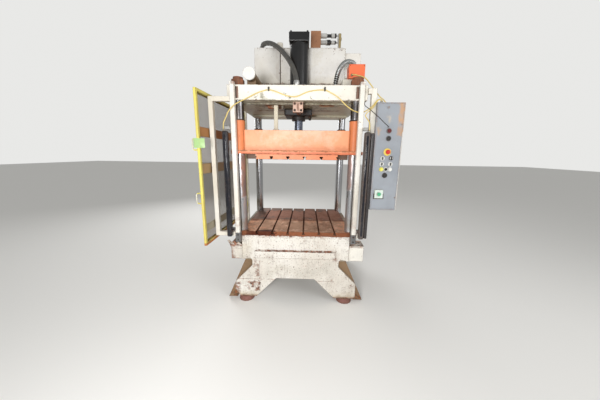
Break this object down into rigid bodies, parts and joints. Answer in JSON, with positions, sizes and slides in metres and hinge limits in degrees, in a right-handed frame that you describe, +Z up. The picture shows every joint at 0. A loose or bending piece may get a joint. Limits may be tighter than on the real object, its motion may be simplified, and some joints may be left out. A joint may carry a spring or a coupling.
{
  "type": "hydraulic press",
  "caption": "Column-guided hydraulic press with a splayed bed, T-slotted bolster and ram, crown-mounted cylinder and reservoir, guarded sides, hinged mesh door and control console.",
  "frame": {"origin": "on the floor, under the middle of the whole machine's footprint", "axes": "+X to the console side, +Y from the operator's front to the back, +Z up"},
  "size_m": [1.7798, 1.474, 2.788],
  "materials": {
    "black_paint": "black paint",
    "blue_grey_paint": "blue-grey paint, worn",
    "brown_primer": "brown primer, stained",
    "cable_yellow": "dull yellow cable sheath",
    "chrome": "hard chrome, oily",
    "cream_paint": "worn cream-white paint, rust stained",
    "dirty_paint": "dirty tan paint",
    "green_plastic": "green plastic",
    "grey_steel": "dark oily steel",
    "mesh_brown": "brown expanded metal",
    "orange_paint": "worn orange paint",
    "pad_red": "dull red pad",
    "red_plastic": "red plastic",
    "rubber": "matt black rubber",
    "rusty_steel": "rusty machined steel",
    "white_plastic": "white plastic",
    "yellow_paint": "yellow paint",
    "yellow_plastic": "yellow plastic"
  },
  "bodies": {
    "press": {"bed_frame": "dirty_paint", "bed_front_plate": "cream_paint", "bed_rear_plate": "cream_paint", "bolster": "rusty_steel", "cable_curtain_left": "cable_yellow", "cable_curtain_right": "cable_yellow", "cable_junction": "cable_yellow", "cable_thin": "rubber", "column_front_left": "chrome", "column_front_right": "chrome", "column_rear_left": "chrome", "column_rear_right": "chrome", "console": "blue_grey_paint", "crown": "cream_paint", "cylinder_barrel": "black_paint", "cylinder_cap": "black_paint", "cylinder_gland": "grey_steel", "door_post": "cream_paint", "filler_breather": "cream_paint", "guard_post_left": "cream_paint", "guard_post_right": "cream_paint", "junction_box": "orange_paint", "light_curtain_left": "black_paint", "light_curtain_right": "black_paint", "main_hose": "rubber", "motor": "blue_grey_paint", "oil_cooler": "cream_paint", "pad_front_left": "pad_red", "pad_front_right": "pad_red", "pad_rear_left": "pad_red", "pad_rear_right": "pad_red", "port_block": "brown_primer", "pump": "grey_steel", "reservoir": "cream_paint", "ribbed_conduit": "rubber", "side_box": "cream_paint", "side_frame_left": "cream_paint", "side_frame_right": "cream_paint", "switch_block": "cream_paint", "valve_cluster": "grey_steel", "valve_manifold": "brown_primer"},
    "ram": {"ram_frame": "orange_paint", "ram_platen": "rusty_steel", "ram_stop_bar": "cream_paint", "piston_rod": "chrome", "piston": "grey_steel"},
    "guard_door": {"door_frame": "yellow_paint", "door_mesh": "mesh_brown"},
    "push_dark_red_body": {"push_dark_red": "red_plastic"},
    "push_black_upper_body": {"push_black_upper": "black_paint"},
    "emergency_stop_body": {"emergency_stop": "red_plastic"},
    "selector_upper_left_body": {"selector_upper_left": "black_paint"},
    "selector_upper_right_body": {"selector_upper_right": "black_paint"},
    "selector_lower_left_body": {"selector_lower_left": "black_paint"},
    "selector_lower_right_body": {"selector_lower_right": "black_paint"},
    "push_yellow_body": {"push_yellow": "yellow_plastic"},
    "push_black_body": {"push_black": "black_paint"},
    "push_white_body": {"push_white": "white_plastic"},
    "selector_round_body": {"selector_round": "black_paint"},
    "start_green_body": {"start_green": "green_plastic"}
  },
  "joints": [
    {"name": "ram_slide", "type": "slide", "parent": "press", "child": "ram", "axis": [0, 0, 1], "range_m": [-0.5, 0.02]},
    {"name": "guard_door_hinge", "type": "hinge", "parent": "press", "child": "guard_door", "pos_m": [-0.74857, 0.42596, 0], "axis": [0, 0, -1], "range_deg": [0, 95]},
    {"name": "push_dark_red_press", "type": "slide", "parent": "press", "child": "push_dark_red_body", "axis": [0, 1, 0], "range_m": [0, 0.004], "stiffness_N_per_m": 400},
    {"name": "push_black_upper_press", "type": "slide", "parent": "press", "child": "push_black_upper_body", "axis": [0, 1, 0], "range_m": [0, 0.004], "stiffness_N_per_m": 400},
    {"name": "emergency_stop_press", "type": "slide", "parent": "press", "child": "emergency_stop_body", "axis": [0, 1, 0], "range_m": [0, 0.004]},
    {"name": "selector_upper_left_turn", "type": "hinge", "parent": "press", "child": "selector_upper_left_body", "pos_m": [0.73193, -0.56904, 1.471], "axis": [0, -1, 0], "range_deg": [-45, 45]},
    {"name": "selector_upper_right_turn", "type": "hinge", "parent": "press", "child": "selector_upper_right_body", "pos_m": [0.80793, -0.56904, 1.474], "axis": [0, -1, 0], "range_deg": [-45, 45]},
    {"name": "selector_lower_left_turn", "type": "hinge", "parent": "press", "child": "selector_lower_left_body", "pos_m": [0.72893, -0.56904, 1.422], "axis": [0, -1, 0], "range_deg": [-45, 45]},
    {"name": "selector_lower_right_turn", "type": "hinge", "parent": "press", "child": "selector_lower_right_body", "pos_m": [0.80493, -0.56904, 1.421], "axis": [0, -1, 0], "range_deg": [-45, 45]},
    {"name": "push_yellow_press", "type": "slide", "parent": "press", "child": "push_yellow_body", "axis": [0, 1, 0], "range_m": [0, 0.004], "stiffness_N_per_m": 400},
    {"name": "push_black_press", "type": "slide", "parent": "press", "child": "push_black_body", "axis": [0, 1, 0], "range_m": [0, 0.004], "stiffness_N_per_m": 400},
    {"name": "push_white_press", "type": "slide", "parent": "press", "child": "push_white_body", "axis": [0, 1, 0], "range_m": [0, 0.004], "stiffness_N_per_m": 400},
    {"name": "selector_round_turn", "type": "hinge", "parent": "press", "child": "selector_round_body", "pos_m": [0.76393, -0.56904, 1.322], "axis": [0, -1, 0], "range_deg": [-45, 45]},
    {"name": "start_green_press", "type": "slide", "parent": "press", "child": "start_green_body", "axis": [0, 1, 0], "range_m": [0, 0.004], "stiffness_N_per_m": 400}
  ]
}
